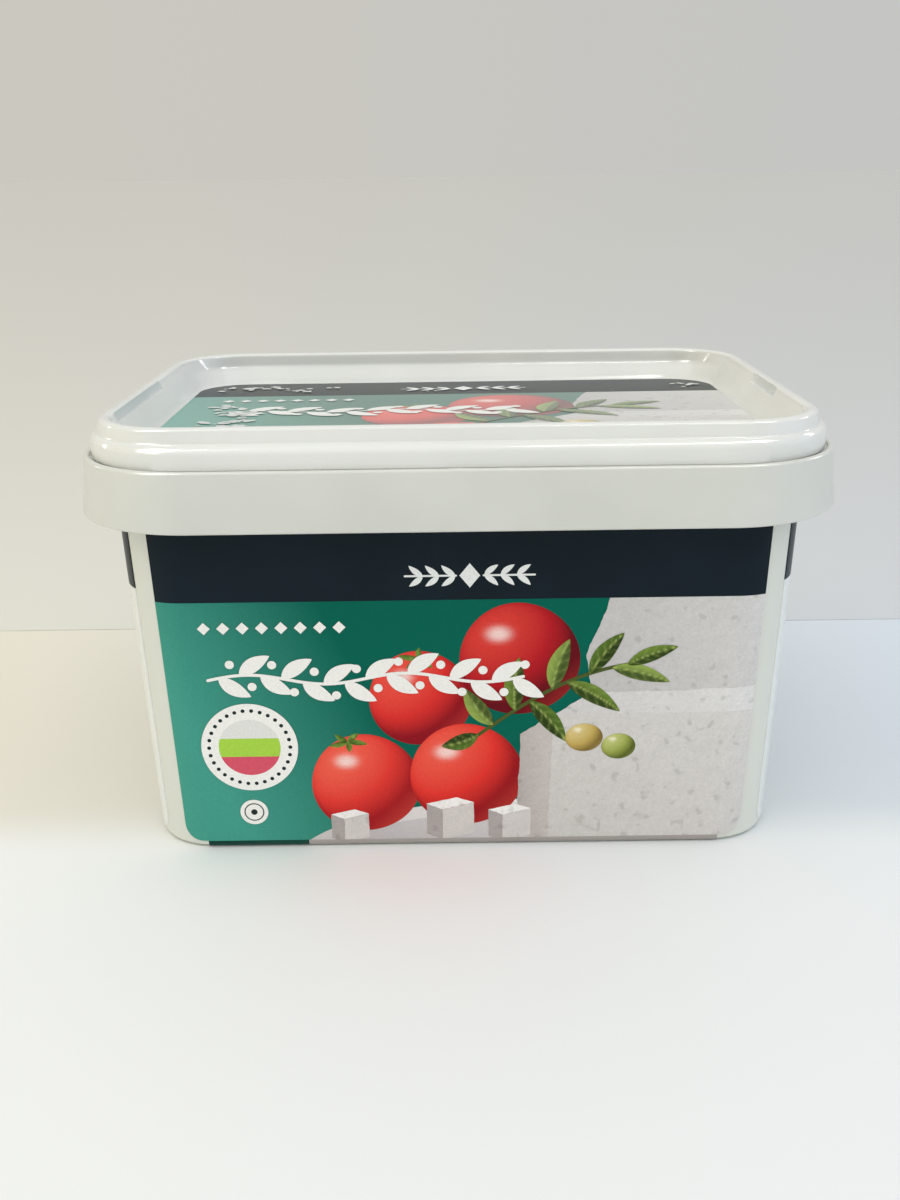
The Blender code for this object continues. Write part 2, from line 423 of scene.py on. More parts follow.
def loft(outlines, wobble=None):
    """A closed form through the outlines. wobble moves the points of chosen rings a little."""
    form = bmesh.new()
    rings = []
    for number, points in enumerate(outlines):
        if wobble:
            points = [wobble(number, point) for point in points]
        rings.append([form.verts.new(point) for point in points])
    count = len(rings[0])
    for lower, upper in zip(rings, rings[1:]):
        for i in range(count):
            j = (i + 1) % count
            form.faces.new((lower[i], lower[j], upper[j], upper[i]))
    form.faces.new(reversed(rings[0]))
    form.faces.new(rings[-1])
    return form


def make_tub():
    floor_inset = wall_inset(FOOT_FILLET)
    ring_inset = floor_inset + FOOT_FILLET + FOOT_RING
    ring_corner = WALL_CORNER - FOOT_RING
    spots = [(ring_inset + BASE_RECESS, BASE_RECESS, ring_corner), (ring_inset, 0, ring_corner)]
    for inset, height in arc(floor_inset + FOOT_FILLET, FOOT_FILLET, FOOT_FILLET, FOOT_FILLET, -90, 0, 8):
        spots.append((inset, height, WALL_CORNER + floor_inset - inset))
    for height in (0.02, 0.04, 0.06, SKIRT_ROOF):
        spots.append((wall_inset(height), height, WALL_CORNER))
    skirt_half = SKIRT_WALL / 2
    lip_half = LIP_WALL / 2
    skirt = [(COLLAR_FLARE + SKIRT_WALL, SKIRT_ROOF)]
    skirt += arc(skirt_half, COLLAR_BOTTOM + skirt_half, skirt_half, skirt_half, -180, 0, 10)
    lip_start = len(spots) + len(skirt)
    skirt += arc(COLLAR_FLARE + lip_half, COLLAR_TOP - lip_half, lip_half, lip_half, 0, 180, LIP_STEPS)
    skirt.append((COLLAR_FLARE + LIP_WALL, SEAT))
    spots += [(inset, height, COLLAR_CORNER - inset) for inset, height in skirt]
    chance = random.Random(7)
    waves = [(chance.uniform(40, 160), chance.uniform(0, 6.28)) for _ in range(5)]
    burrs = ((0.0003, 0.0022, 0.2), (0.0108, 0.0015, 0.14))

    def uneven_lip(number, point):
        """The collar's lip has a slightly ragged parting line, with two small burrs at the front."""
        if not lip_start <= number <= lip_start + LIP_STEPS:
            return point
        x, y, z = point
        ripple = sum(math.sin(x * f + y * f * 1.3 + p) for f, p in waves) / len(waves)
        burr = sum(h * math.exp(-((x - c) / w) ** 2) for c, w, h in burrs) if y < 0 else 0
        return x, y, z + (0.03 * ripple + 0.5 * burr - 0.07) * MM

    form = loft([outline(inset, corner, height) for inset, height, corner in spots], uneven_lip)
    return finish_piece("moulded_tub", form, [tub_white], "tub")


def make_lid():
    rim_height = HEIGHT - RIM_RISE
    spots = [(LID_WALL_INSET + GAP, SEAT + GAP), (LID_WALL_INSET, SEAT + 2 * GAP)]
    shoulder_end = 78
    spots += arc(LID_WALL_INSET + SHOULDER_WIDTH, LID_WALL_TOP, SHOULDER_WIDTH, SHOULDER_RISE, 0, shoulder_end, 14)
    # a small hollow fillet where the shoulder meets the upper wall
    hollow = 0.0005
    shoulder_top = LID_WALL_TOP + SHOULDER_RISE * math.sin(math.radians(shoulder_end))
    spots += [(UPPER_WALL_INSET - hollow * 0.35, shoulder_top + hollow * 0.1),
              (UPPER_WALL_INSET - hollow * 0.1, shoulder_top + hollow * 0.35),
              (UPPER_WALL_INSET, shoulder_top + hollow)]
    spots += arc(RIM_INSET + RIM_WIDTH / 2, rim_height, RIM_WIDTH / 2, RIM_RISE, 0, 180, 16)
    rings = [outline(inset, closing_corner(inset), height) for inset, height in spots]
    # the inner wall: steep and then sloped on the long sides, one slope on the short ones
    toe = PANEL_FILLET / 2
    inner = RIM_INSET + RIM_WIDTH
    fall = rim_height - PANEL_HEIGHT - PANEL_FILLET
    for share in (0.1, 0.2, 0.3, 0.36, 0.4, 0.44, 0.5, 0.6, 0.7, 0.8, 0.9, 1.0):
        corner = closing_corner(inner) + (PANEL_CORNER - closing_corner(inner)) * share
        rings.append(blend_rings(*[
            outline(inner + (PANEL_INSET - toe - inner) * slope, corner, rim_height - share * fall)
            for slope in (smooth_ramp(share, STEEP_WALL / fall), share)]))
    for inset, rise in [(PANEL_INSET - toe * 0.4, PANEL_FILLET * 0.5), (PANEL_INSET, PANEL_FILLET / 4),
                        (PANEL_INSET + toe * 0.5, PANEL_FILLET * 0.07), (PANEL_INSET + toe, 0)]:
        rings.append(outline(inset, PANEL_CORNER, PANEL_HEIGHT + rise))
    piece = finish_piece("moulded_lid", loft(rings), [lid_white, pocket_painted_shade], "lid")
    for side, length in POCKET_LENGTHS:
        cut_pocket(piece, side, length)
    piece.data.set_sharp_from_angle(angle=SHARP_ANGLE)
    return piece


def cut_pocket(piece, side, length):
    """A round-edged frosted shelf cut into the top of one short inner wall. Its faces take the second material,
    painted a little darker than the lid: painted shade in the recess.
    """
    depth = HEIGHT - POCKET_FLOOR + GAP
    form = bmesh.new()
    bmesh.ops.create_cube(form, size=1)
    for corner in form.verts:
        corner.co.x = side * (POCKET_OUTSIDE - POCKET_WIDTH / 2) + corner.co.x * POCKET_WIDTH
        corner.co.y = POCKET_BACK - length / 2 + corner.co.y * length
        corner.co.z = POCKET_FLOOR + depth / 2 + corner.co.z * depth
    upright = [edge for edge in form.edges if abs(edge.verts[0].co.z - edge.verts[1].co.z) > depth / 2]
    bmesh.ops.bevel(form, geom=upright, offset=POCKET_CORNER, segments=5, affect="EDGES", profile=0.5)
    mesh = bpy.data.meshes.new("pocket_cutter")
    form.to_mesh(mesh)
    form.free()
    # the cut faces get the second material, the pocket's painted shade
    mesh.materials.append(lid_white)
    mesh.materials.append(pocket_painted_shade)
    mesh.polygons.foreach_set("material_index", [1] * len(mesh.polygons))
    cutter = add_object("pocket_cutter", mesh)
    cut = piece.modifiers.new("pocket", "BOOLEAN")
    cut.operation = "DIFFERENCE"
    cut.solver = "EXACT"
    cut.object = cutter
    solid = bpy.data.meshes.new_from_object(piece.evaluated_get(bpy.context.evaluated_depsgraph_get()))
    piece.modifiers.clear()
    old = piece.data
    piece.data = solid
    solid.name = "moulded_lid"
    bpy.data.meshes.remove(old)
    bpy.data.objects.remove(cutter)
    bpy.data.meshes.remove(mesh)


# Label surfaces

def turned(x, y, turn):
    """A point turned about the tub's middle by a number of quarter turns."""
    for _ in range(turn % 4):
        x, y = -y, x
    return x, y


def wall_point(turn, along, height, proud):
    """A point in front of the tub's wall. along is the way round from the middle of a side, in metres."""
    inset = wall_inset(height) - proud
    half_x = COLLAR_WIDTH / 2 - inset
    half_y = COLLAR_DEPTH / 2 - inset
    if turn % 2:
        half_x, half_y = half_y, half_x
    corner = WALL_CORNER + proud
    straight = half_x - corner
    bend = max(abs(along) - straight, 0) / corner
    x = math.copysign(min(abs(along), straight) + corner * math.sin(bend), along)
    y = -(half_y - corner + corner * math.cos(bend))
    return (*turned(x, y, turn), height)


def foot_point(turn, along, angle, proud):
    """A point in front of the round foot, at an angle below the wall's lower edge, in degrees."""
    x, y, _ = wall_point(turn, along, FOOT_FILLET, 0)
    tilt = math.radians(angle)
    x, y = turned(x, y, -turn)
    x, y = turned(x, y + FOOT_FILLET - (FOOT_FILLET + proud) * math.cos(tilt), turn)
    return x, y, FOOT_FILLET - (FOOT_FILLET + proud) * math.sin(tilt)


def label_corner_heights():
    """Heights up the round lower corner of a label, in metres."""
    return [LABEL_BOTTOM + LABEL_CORNER * (1 - math.cos(math.radians(90) * step / 12)) for step in range(13)]


def label_reach(turn, wrap, height):
    """How far the label reaches from the middle of its side at a height, in metres."""
    half = COLLAR_DEPTH / 2 if turn % 2 else COLLAR_WIDTH / 2
    short_by = 0
    if height < LABEL_BOTTOM + LABEL_CORNER:
        drop = 1 - (height - LABEL_BOTTOM) / LABEL_CORNER
        short_by = LABEL_CORNER * (1 - math.sqrt(max(1 - drop * drop, 0)))
    return half - wall_inset(height) - WALL_CORNER + (WALL_CORNER + GAP) * wrap - short_by


def thin_film(rows, finish_of):
    """A closed film through rows of spots, each spot a point on its face and the one behind it. finish_of
    gives the material of the cell at a row and a column."""
    form = bmesh.new()
    face_grid, back_grid = [[[form.verts.new(spot[side]) for spot in row] for row in rows] for side in (0, 1)]
    last_row, last = len(rows) - 1, len(rows[0]) - 1
    for row in range(last_row):
        for i in range(last):
            corners = ((row, i), (row, i + 1), (row + 1, i + 1), (row + 1, i))
            face = form.faces.new([face_grid[r][c] for r, c in corners])
            back = form.faces.new([back_grid[r][c] for r, c in reversed(corners)])
            face.material_index = back.material_index = finish_of(row, i)
    rim = [(0, i) for i in range(last)] + [(row, last) for row in range(last_row)]
    rim += [(last_row, i) for i in range(last, 0, -1)] + [(row, 0) for row in range(last_row, 0, -1)]
    for (r, c), (next_r, next_c) in zip(rim, rim[1:] + rim[:1]):
        edge = form.faces.new((back_grid[r][c], back_grid[next_r][next_c],
                               face_grid[next_r][next_c], face_grid[r][c]))
        edge.material_index = finish_of(min(r, next_r, last_row - 1), min(c, next_c, last - 1))
    return form


def make_wall_label(side, turn, wrap, field, band_bottom):
    """The label's film on one side of the tub: a dark band over one plain field."""
    wrap_steps, flat_steps = 12, 10
    bent = (WALL_CORNER + GAP) * wrap * 1.15
    band_start = band_bottom * MM
    heights = label_corner_heights() + [0.02, 0.035, 0.05, band_start, 0.078, LABEL_TOP]
    rows = []
    for height in heights:
        reach = label_reach(turn, wrap, height)
        ends = [reach - bent * (1 - step / wrap_steps) for step in range(wrap_steps + 1)]
        flat = [ends[0] * (2 * step / flat_steps - 1) for step in range(1, flat_steps)]
        places = [-end for end in reversed(ends)] + flat + ends
        rows.append([[wall_point(turn, along, height, proud) for proud in FILM_LEVELS] for along in places])
    form = thin_film(rows, lambda row, i: 0 if heights[row] >= band_start - 1e-6 else 1)
    return finish_piece(f"{side}_label_film", form, [band_ink, field], f"label_{side}")


def make_label_hem(name, turn):
    """The narrow tongue of the label that goes round the foot, in darker copies of the two tones of the print above
    it: painted shade where the label turns under.
    """
    half, split = 64.5, -39.0
    places = sorted(set([-half + 2 * half * step / 60 for step in range(61)] + [split]))
    rows = [[[foot_point(turn, x * MM, angle, proud) for proud in FILM_LEVELS] for x in places]
            for angle in (58, 48, 36, 24, 12, 0)]
    rows.append([[wall_point(turn, x * MM, LABEL_BOTTOM + 0.0002, proud) for proud in FILM_LEVELS]
                 for x in places])
    form = thin_film(rows, lambda row, i: 0 if places[i] < split - 1e-6 else 1)
    return finish_piece(name, form, [hem_teal_painted_shade, hem_pale_painted_shade])


def make_lid_label():
    """The printed film in the lid's sunk panel: the dark band at the back, the plain field before it."""
    edge = round_box(LID_HALF_X * MM, LID_HALF_Y * MM, PANEL_CORNER - LID_LABEL_MARGIN, 24)
    face = PANEL_HEIGHT + FILM_FACE
    form = loft([[(x, y, z) for x, y in edge] for z in (face - FILM_DEPTH, face)])
    band_start = LID_BAND_BOTTOM * MM
    bmesh.ops.bisect_plane(form, geom=form.verts[:] + form.edges[:] + form.faces[:],
                           plane_co=(0, band_start, 0), plane_no=(0, 1, 0))
    for face in form.faces:
        face.material_index = 0 if face.calc_center_median().y > band_start else 1
    return finish_piece("lid_label_film", form, [lid_band_ink, lid_teal_ink], "label_lid")


@dataclass
class Surface:
    """Where a print lies: its region, how the design's points are laid out on it, how large motifs are, and
    how much its colours are paled toward one pale grey-green."""
    region: list
    layout: object
    zoom: float
    lay: object
    paling: float = 0.0


def print_level(layer):
    """How far in front of the moulding a layer of the print lies, in metres."""
    return FILM_FACE + (CLEAR_LAYERS + layer) * LAYER * MM


def wall_surface(turn, region):
    def lay(u, v, layer):
        return wall_point(turn, u * MM, v * MM, print_level(layer))
    return Surface(region, lambda u, v: (u, v), 1.0, lay)


def long_wall_surface(turn):
    heights = label_corner_heights() + [BAND_BOTTOM * MM]
    region = [(label_reach(turn, LONG_LABEL_WRAP, height) / MM, height / MM) for height in heights]
    return wall_surface(turn, region + [(-u, v) for u, v in reversed(region)])


def lid_surface():
    corner = (PANEL_CORNER - LID_LABEL_MARGIN) / MM
    region = [p for p in round_box(LID_HALF_X, LID_HALF_Y, corner, 12) if p[1] < LID_BAND_BOTTOM]
    left = [p for p in region if p[0] < 0]
    right = [p for p in region if p[0] >= 0]
    region = [(-LID_HALF_X, LID_BAND_BOTTOM)] + left + right + [(LID_HALF_X, LID_BAND_BOTTOM)]
    stretch_x = LID_HALF_X / LONG_HALF
    stretch_y = (LID_BAND_BOTTOM + LID_HALF_Y) / (BAND_BOTTOM - LABEL_BOTTOM / MM)

    def layout(u, v):
        return u * stretch_x, LID_BAND_BOTTOM - (BAND_BOTTOM - v) * stretch_y

    def lay(u, v, layer):
        return u * MM, v * MM, PANEL_HEIGHT + print_level(layer)
    return Surface(region, layout, 1.2, lay, 0.17)


def clip(points, region):
    """The part of a shape that lies in a convex region given anticlockwise. No region leaves it whole."""
    for (ax, ay), (bx, by) in zip(region, region[1:] + region[:1]):
        if not points:
            return []
        sides = [(bx - ax) * (y - ay) - (by - ay) * (x - ax) for x, y in points]
        kept = []
        for i, (point, side) in enumerate(zip(points, sides)):
            before, before_side = points[i - 1], sides[i - 1]
            if (side >= 0) != (before_side >= 0):
                share = before_side / (before_side - side)
                kept.append((before[0] + share * (point[0] - before[0]), before[1] + share * (point[1] - before[1])))
            if side >= 0:
                kept.append(point)
        points = kept
    return points


def resample(points, spacing):
    """The closed outline with points no further apart than the spacing and none doubled."""
    dense = []
    for (ax, ay), (bx, by) in zip(points, points[1:] + points[:1]):
        length = math.hypot(bx - ax, by - ay)
        if length < 1e-4:
            continue
        steps = max(1, math.ceil(length / spacing))
        dense += [(ax + (bx - ax) * s / steps, ay + (by - ay) * s / steps) for s in range(steps)]
    return dense


def inside(points, xs, ys):
    """Which of many points lie inside an outline, and how far each is from its corners."""
    hit = np.zeros(len(xs), bool)
    near = np.full(len(xs), 1e9)
    for (ax, ay), (bx, by) in zip(points, points[1:] + points[:1]):
        near = np.minimum(near, np.hypot(xs - ax, ys - ay))
        if ay != by:
            hit ^= ((ay > ys) != (by > ys)) & (xs < (bx - ax) * (ys - ay) / (by - ay) + ax)
    return hit, near


class Print:
    """Thin ink shapes on one surface, gathered into one piece."""

    def __init__(self, surface):
        self.surface = surface
        self.points, self.faces, self.inks, self.finishes = [], [], [], []

    def shape(self, points, layer, colour, spacing=1.2, finish=0, free=False):
        """One filled shape. colour gives linear RGB for arrays of u and v, or is a hex colour."""
        if not free:
            points = clip(points, self.surface.region)
        edge = resample(points, min(spacing, 1.2))
        if len(edge) < 3:
            return
        us, vs = zip(*edge)
        grid_u, grid_v = np.meshgrid(np.arange(min(us), max(us), spacing), np.arange(min(vs), max(vs), spacing))
        grid_u[1::2] += spacing / 2
        grid_u, grid_v = grid_u.ravel(), grid_v.ravel()
        hit, near = inside(edge, grid_u, grid_v)
        keep = hit & (near > spacing * 0.55)
        spots = edge + list(zip(grid_u[keep], grid_v[keep]))
        made = delaunay_2d_cdt(spots, [], [list(range(len(edge)))], 1, 1e-6)
        start = len(self.points)
        flat = [(p[0], p[1]) for p in made[0]]
        self.points += [self.surface.lay(u, v, layer) for u, v in flat]
        self.faces += [[start + i for i in face] for face in made[2]]
        inks = np.tile(linear(colour), (len(flat), 1)) if isinstance(colour, str) else colour(*np.array(flat).T)
        # colours paled toward one pale grey-green by the surface's share
        inks = inks * (1 - self.surface.paling) + np.array(linear(LID_PALING_TINT)) * self.surface.paling
        self.inks += [tuple(c) for c in inks]
        self.finishes += [finish] * len(made[2])

    def piece(self, name, finishes):
        """The shapes as one dressed piece, with their colours on its points."""
        mesh = bpy.data.meshes.new(name)
        mesh.from_pydata(self.points, [], self.faces)
        ink = mesh.color_attributes.new("ink", "FLOAT_COLOR", "POINT")
        ink.data.foreach_set("color", np.array([(*c, 1.0) for c in self.inks], np.float32).ravel())
        piece = dress(name, mesh, finishes)
        mesh.polygons.foreach_set("material_index", self.finishes)
        return piece


# Shapes and colours of the generic picture

def mix(first, second, share):
    """Linear colours between two, for an array of shares."""
    share = np.clip(share, 0, 1)[:, None]
    return np.array(first) * (1 - share) + np.array(second) * share


def box(left, bottom, right, top):
    return [(left, bottom), (right, bottom), (right, top), (left, top)]


def lozenge(u, v, half_u, half_v):
    return [(u - half_u, v), (u, v - half_v), (u + half_u, v), (u, v + half_v)]


def on_ellipse(centre, reach_u, reach_v, angle):
    return centre[0] + reach_u * math.cos(angle), centre[1] + reach_v * math.sin(angle)


def circle(centre, radius, steps=72, squash=1.0, lobes=0.0):
    points = []
    for step in range(steps):
        angle = 2 * math.pi * step / steps
        r = radius * (1 + lobes * math.cos(3 * angle + 0.6))
        points.append(on_ellipse(centre, r, r * squash, angle))
    return points


def round_fruit(centre, radius, light, body, dark, glint="#f6dcd6"):
    """Colours of a ball lit from the upper left, with a window's glint and a darker lower right."""
    def colour(u, v):
        x, y = (u - centre[0]) / radius, (v - centre[1]) / radius
        z = np.sqrt(np.clip(1 - x * x - y * y, 0, 1))
        lit = -0.45 * x + 0.55 * y + 0.7 * z
        shade = mix(linear(dark), linear(body), (lit - 0.05) / 0.5)
        shade = mix(shade, linear(light), (lit - 0.55) / 0.6)
        back_glow = np.clip((x * 0.6 - y * 0.6 - 0.55) * 2, 0, 1) * 0.35
        shade = mix(shade, linear(light), back_glow)
        spot = np.exp(-(((x + 0.34) / 0.20) ** 2 + ((y - 0.46) / 0.13) ** 2) ** 1.5)
        return mix(shade, linear(glint), spot * 0.9)
    return colour


def gradient(light, dark, angle, low, high):
    """A gentle gradient in the direction of an angle."""
    def colour(u, v):
        along = (u * math.cos(angle) + v * math.sin(angle) - low) / (high - low)
        return mix(linear(dark), linear(light), along)
    return colour


def crumbly(points, seed, size, step=0.9):
    """The outline with small random bites and lumps, as a cut or broken face of cheese has."""
    chance = random.Random(seed)
    dense = resample(points, step)
    drift = 0.0
    rough = []
    for i, (x, y) in enumerate(dense):
        ax, ay = dense[i - 1]
        bx, by = dense[(i + 1) % len(dense)]
        length = math.hypot(bx - ax, by - ay) or 1
        drift = 0.7 * drift + chance.uniform(-size, size)
        rough.append((x + drift * (by - ay) / length, y - drift * (bx - ax) / length))
    return rough


def leaf_outline(base, tip, width, steps=26, bow=0.12):
    """A long smooth-edged leaf between two points, slightly bowed."""
    dx, dy = tip[0] - base[0], tip[1] - base[1]
    length = math.hypot(dx, dy)
    sides = []
    for side in (1, -1):
        row = []
        for step in range(steps + 1):
            t = step / steps
            half = width / 2 * math.sin(math.pi * t ** 0.85) ** 0.8
            off = side * half + bow * width * 4 * t * (1 - t)
            row.append((base[0] + dx * t - dy / length * off, base[1] + dy * t + dx / length * off))
        sides.append(row)
    return sides[0] + sides[1][-2:0:-1]


def leaf_colours(base, tip, width, dark, light, rib, bow=0.12):
    """Colours of a leaf with a pale rib and fine veins, darker on one half."""
    dx, dy = tip[0] - base[0], tip[1] - base[1]
    length = math.hypot(dx, dy)

    def colour(u, v):
        t = ((u - base[0]) * dx + (v - base[1]) * dy) / length ** 2
        s = (-(u - base[0]) * dy + (v - base[1]) * dx) / length - bow * width * 4 * t * (1 - t)
        s = s / (width / 2)
        shade = mix(linear(dark), linear(light), 0.45 + 0.4 * np.tanh(3 * s) + 0.25 * s * s)
        veins = np.exp(-(((t * 5 - np.abs(s) * 0.8) % 1 - 0.5) / 0.11) ** 2) * (np.abs(s) > 0.08)
        shade = mix(shade, linear(rib), veins * 0.22)
        return mix(shade, linear(rib), np.exp(-(s / 0.07) ** 2) * 0.75)
    return colour


def stroke(path, width):
    """The outline of a line with round ends."""
    half = width / 2
    left, right = [], []
    for i, (x, y) in enumerate(path):
        ax, ay = path[max(i - 1, 0)]
        bx, by = path[min(i + 1, len(path) - 1)]
        length = math.hypot(bx - ax, by - ay)
        nx, ny = -(by - ay) / length * half, (bx - ax) / length * half
        left.append((x + nx, y + ny))
        right.append((x - nx, y - ny))

    def cap(end, inner):
        angle = math.atan2(end[1] - inner[1], end[0] - inner[0])
        return [on_ellipse(end, half, half, angle + math.radians(d)) for d in (60, 30, 0, -30, -60)]
    return (left + cap(path[-1], path[-2]) + right[::-1] + cap(path[0], path[1]))[::-1]


def draw_picture(ink):
    """Cheese slabs and cubes, whole small tomatoes and an olive sprig, on a white dish."""
    at, k = ink.surface.layout, ink.surface.zoom

    def area(points):
        return [at(*p) for p in points]

    def teal(u, v):
        left, right = at(-LONG_HALF, 0)[0], at(LONG_HALF, 0)[0]
        bottom, top = at(0, LABEL_BOTTOM / MM)[1], at(0, BAND_BOTTOM)[1]
        across, up = (u - left) / (right - left), (v - bottom) / (top - bottom)
        return mix(linear("#459a8a"), linear("#026151"), 0.2 + 3.0 * across - 0.6 * (1 - up))
    ink.shape(area(box(-80, -4, 80, 70)), 0, teal, 0.9)
    for reach_u, reach_v, layer, light, dark in ((58, 19, 1, "#eceae8", "#b9b4b4"),
                                                 (53, 15.5, 2, "#d9d6d6", "#a9a3a6")):
        dish = [on_ellipse(at(14, -6), reach_u * k, reach_v * k, math.radians(d * 3)) for d in range(61)]
        ink.shape(dish, layer, gradient(light, dark, 1.2, -20, 22), 2.0)

    # the upper slab behind, then the tomatoes, then the lower slab and its cubes
    upper = crumbly(area([(33, 33), (30, 52), (36, 68), (76, 68), (76, 33)]), 3, 0.16)
    ink.shape(upper, 3, gradient("#d2d1d0", "#b6b3b2", 0.5, at(26, 30)[0], at(76, 60)[0] + 20), 0.8, 1)
    for spot, radius, light, body, dark, layer in (
            ((14, 51), 14.5, "#e4483c", "#b51e26", "#64101a", 4),
            ((-10, 41), 12.5, "#f0594a", "#d8322e", "#8c1420", 5),
            ((-24, 18), 13.5, "#f36a55", "#df3a33", "#a01c22", 7),
            ((1, 20), 14.0, "#f06350", "#e0362e", "#96181f", 9)):
        centre, radius = at(*spot), radius * k
        ink.shape(circle(centre, radius, lobes=0.012), layer, round_fruit(centre, radius, light, body, dark), 0.9)
    for spot, size, turn in (((-10, 51.5), 5.4, 0.3), ((-28, 29.5), 5.0, 1.0)):
        centre, width = at(*spot), 1.5 * k
        for blade in range(5):
            tip = on_ellipse(centre, size * k, 0.55 * size * k, turn + blade * 2 * math.pi / 5)
            colours = leaf_colours(centre, tip, width, "#2c4a1c", "#6f8f3a", "#9fb45a")
            ink.shape(leaf_outline(centre, tip, width, 10), 8, colours, 0.7)

    # the lower slab: a lit top, a front face and a shaded left end
    top_face = crumbly(area([(22, 36), (31, 42), (76, 43), (76, 36)]), 5, 0.12)
    ink.shape(top_face, 10, gradient("#dcdbda", "#c9c7c6", 0.3, at(20, 36)[0], at(76, 40)[0]), 1.2, 1)
    front = crumbly(area([(21, 0), (22, 36.4), (76, 36.4), (76, 0)]), 8, 0.16)
    ink.shape(front, 11, gradient("#d3d1ce", "#cac6c3", 0.9, at(20, 0)[0] - 4, at(60, 30)[0] + 10), 1.2, 1)
    end_face = crumbly(area([(13.5, 4), (14.5, 31), (22.3, 36.6), (21.4, 0)]), 9, 0.14)
    ink.shape(end_face, 12, gradient("#c4bdb9", "#aba3a0", 0.1, at(12, 0)[0], at(23, 0)[0]), 1.2, 1)

    # cubes of cheese in front
    for number, (spot, size) in enumerate([((-9, 3.5), 9.5), ((6.5, 2.5), 8.5), ((-33, 2.5), 7.5)]):
        (u, v), s = at(*spot), size * k
        low_left, low_mid, low_right = (u, v), (u + s * 0.42, v - s * 0.2), (u + s * 1.25, v + s * 0.02)
        left, mid, right = (u, v + s * 0.9), (u + s * 0.42, v + s * 0.72), (u + s * 1.25, v + s * 0.92)
        for face, tone in (((low_left, low_mid, mid, left), "#aba4a2"), ((low_mid, low_right, right, mid), "#cfcac8"),
                           ((left, mid, right, (u + s * 0.8, v + s * 1.08)), "#efedeb")):
            ink.shape(crumbly(face, 20 + number, 0.05 * k, 0.6), 13 + number, tone, 1.0, 1)

    # an olive sprig over the slab's edge
    stem = [at(4 + 36 * t, 31 + 15 * t + 5 * math.sin(2.4 * t)) for t in (i / 20 for i in range(21))]
    ink.shape(stroke(stem, 0.9 * k), 17, "#4d5a2a", 1.0)
    leaves = [(0.00, (-9, -3), 4.2), (0.10, (-7, 10), 4.6), (0.25, (1, 14), 5.0), (0.35, (9, -11), 4.6),
              (0.5, (4, 13), 4.8), (0.62, (13, -8), 4.4), (0.75, (8, 10.5), 4.4), (0.9, (14, -4), 4.0),
              (1.0, (12, 4.5), 3.8)]
    tones = [("#1f2d14", "#54702c"), ("#27381a", "#8fa651"), ("#1c2a14", "#6c8738")]
    for number, (share, (dx, dy), width) in enumerate(leaves):
        base = stem[round(share * 20)]
        tip = (base[0] + dx * k, base[1] + dy * k)
        colours = leaf_colours(base, tip, width * k, *tones[number % 3], "#aebf6a")
        ink.shape(leaf_outline(base, tip, width * k), 18 + number % 3, colours, 0.5)
    for spot, radius, light, body, dark in (((30, 30), 4.6, "#dccb8e", "#c2a75c", "#7f6a34"),
                                            ((38.5, 27.5), 4.2, "#c9cf86", "#96a24e", "#556024")):
        centre, radius = at(*spot), radius * k
        olive = round_fruit(centre, radius, light, body, dark, "#f3eed6")
        ink.shape(circle(centre, radius, squash=0.82), 22, olive, 0.6)


def draw_ornaments(ink, badge, small_badge):
    """Plain white ornaments where the pack has its words, a round badge and a small one."""
    at, k = ink.surface.layout, ink.surface.zoom
    white, dark = "#eeeeea", "#24302f"
    stem = [at(-61 + 76 * i / 60, 46.6 + 1.3 * math.sin(i / 60 * 4 * math.pi)) for i in range(61)]
    ink.shape(stroke(stem, 0.8 * k), ORNAMENTS, white, 1.2)
    for number in range(15):
        base = stem[2 + 4 * number]
        side = 1 if number % 2 else -1
        tip = (base[0] + 7.6 * k, base[1] + side * 5.0 * k)
        ink.shape(leaf_outline(base, tip, 3.7 * k, 16, bow=side * 0.1), ORNAMENTS + 1, white, 1.2)
        base = stem[min(4 + 4 * number, 60)]
        berry = (base[0] + 0.4 * k, base[1] - side * 3.1 * k)
        ink.shape(circle(berry, 1.1 * k, 24), ORNAMENTS + 2, white, 1.0)
    for number in range(8):
        shape = lozenge(*at(-61 + number * 4.6, 60), 1.55 * k, 1.55 * k)
        ink.shape(shape, ORNAMENTS, white, 1.0)

    # round badge with three plain bars in a ring of dots
    centre = at(*badge)
    ink.shape(circle(centre, 11.9 * k, 96), ORNAMENTS, white, 1.2)
    for number in range(30):
        spot = on_ellipse(centre, 10.0 * k, 10.0 * k, 2 * math.pi * number / 30)
        ink.shape(circle(spot, 0.5 * k, 12), ORNAMENTS + 1, dark, 1.0)
    disc_radius, bar_half = 7.6, 2.5
    disc = circle(centre, disc_radius * k)
    for low, high, tone in ((-disc_radius, -bar_half, "#d4566a"), (-bar_half, bar_half, "#a6d24c"),
                            (bar_half, disc_radius, "#dfe0dc")):
        bar = box(centre[0] - 9 * k, centre[1] + low * k, centre[0] + 9 * k, centre[1] + high * k)
        ink.shape(clip(disc, bar), ORNAMENTS + 1, tone, 1.2)
    for number, (radius, tone) in enumerate(((3.5, white), (2.5, dark), (2.2, white), (0.8, dark))):
        ink.shape(circle(at(*small_badge), radius * k, 48), ORNAMENTS + number, tone, 1.0)


